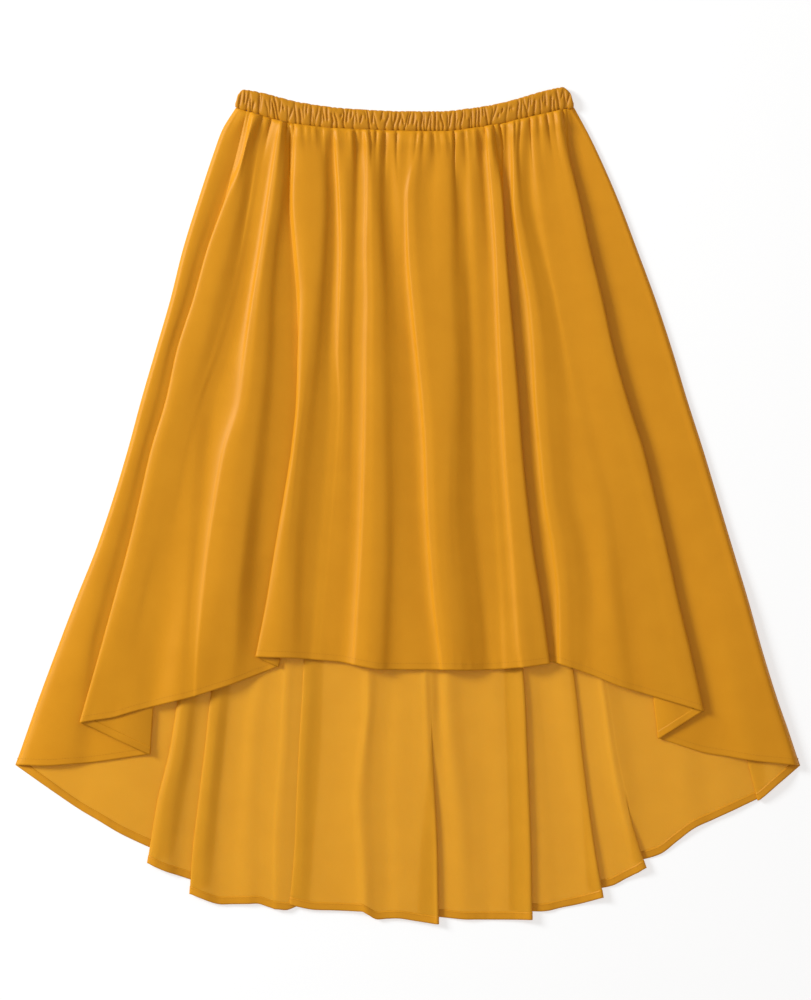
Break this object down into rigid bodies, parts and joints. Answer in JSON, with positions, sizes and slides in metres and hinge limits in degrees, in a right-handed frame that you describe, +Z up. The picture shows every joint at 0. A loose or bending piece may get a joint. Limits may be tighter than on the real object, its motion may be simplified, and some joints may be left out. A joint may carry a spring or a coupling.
{
  "type": "high-low skirt",
  "caption": "High-low skirt of light gathered cloth on an elasticated waistband, laid flat with its short front up.",
  "frame": {"origin": "middle of the bounding box, on the surface that the skirt lies on", "axes": "+Y from the hem to the waist, +Z up out of the surface through the front panel, +X to the right as seen from above"},
  "size_m": [0.784, 0.8356, 0.0164],
  "materials": {
    "chiffon": "thin mustard chiffon, matt with a soft sheen",
    "waistband": "the same chiffon gathered thickly over elastic, matt"
  },
  "bodies": {
    "root": {"back_panel": "chiffon", "front_panel": "chiffon", "waistband": "waistband"}
  },
  "joints": []
}
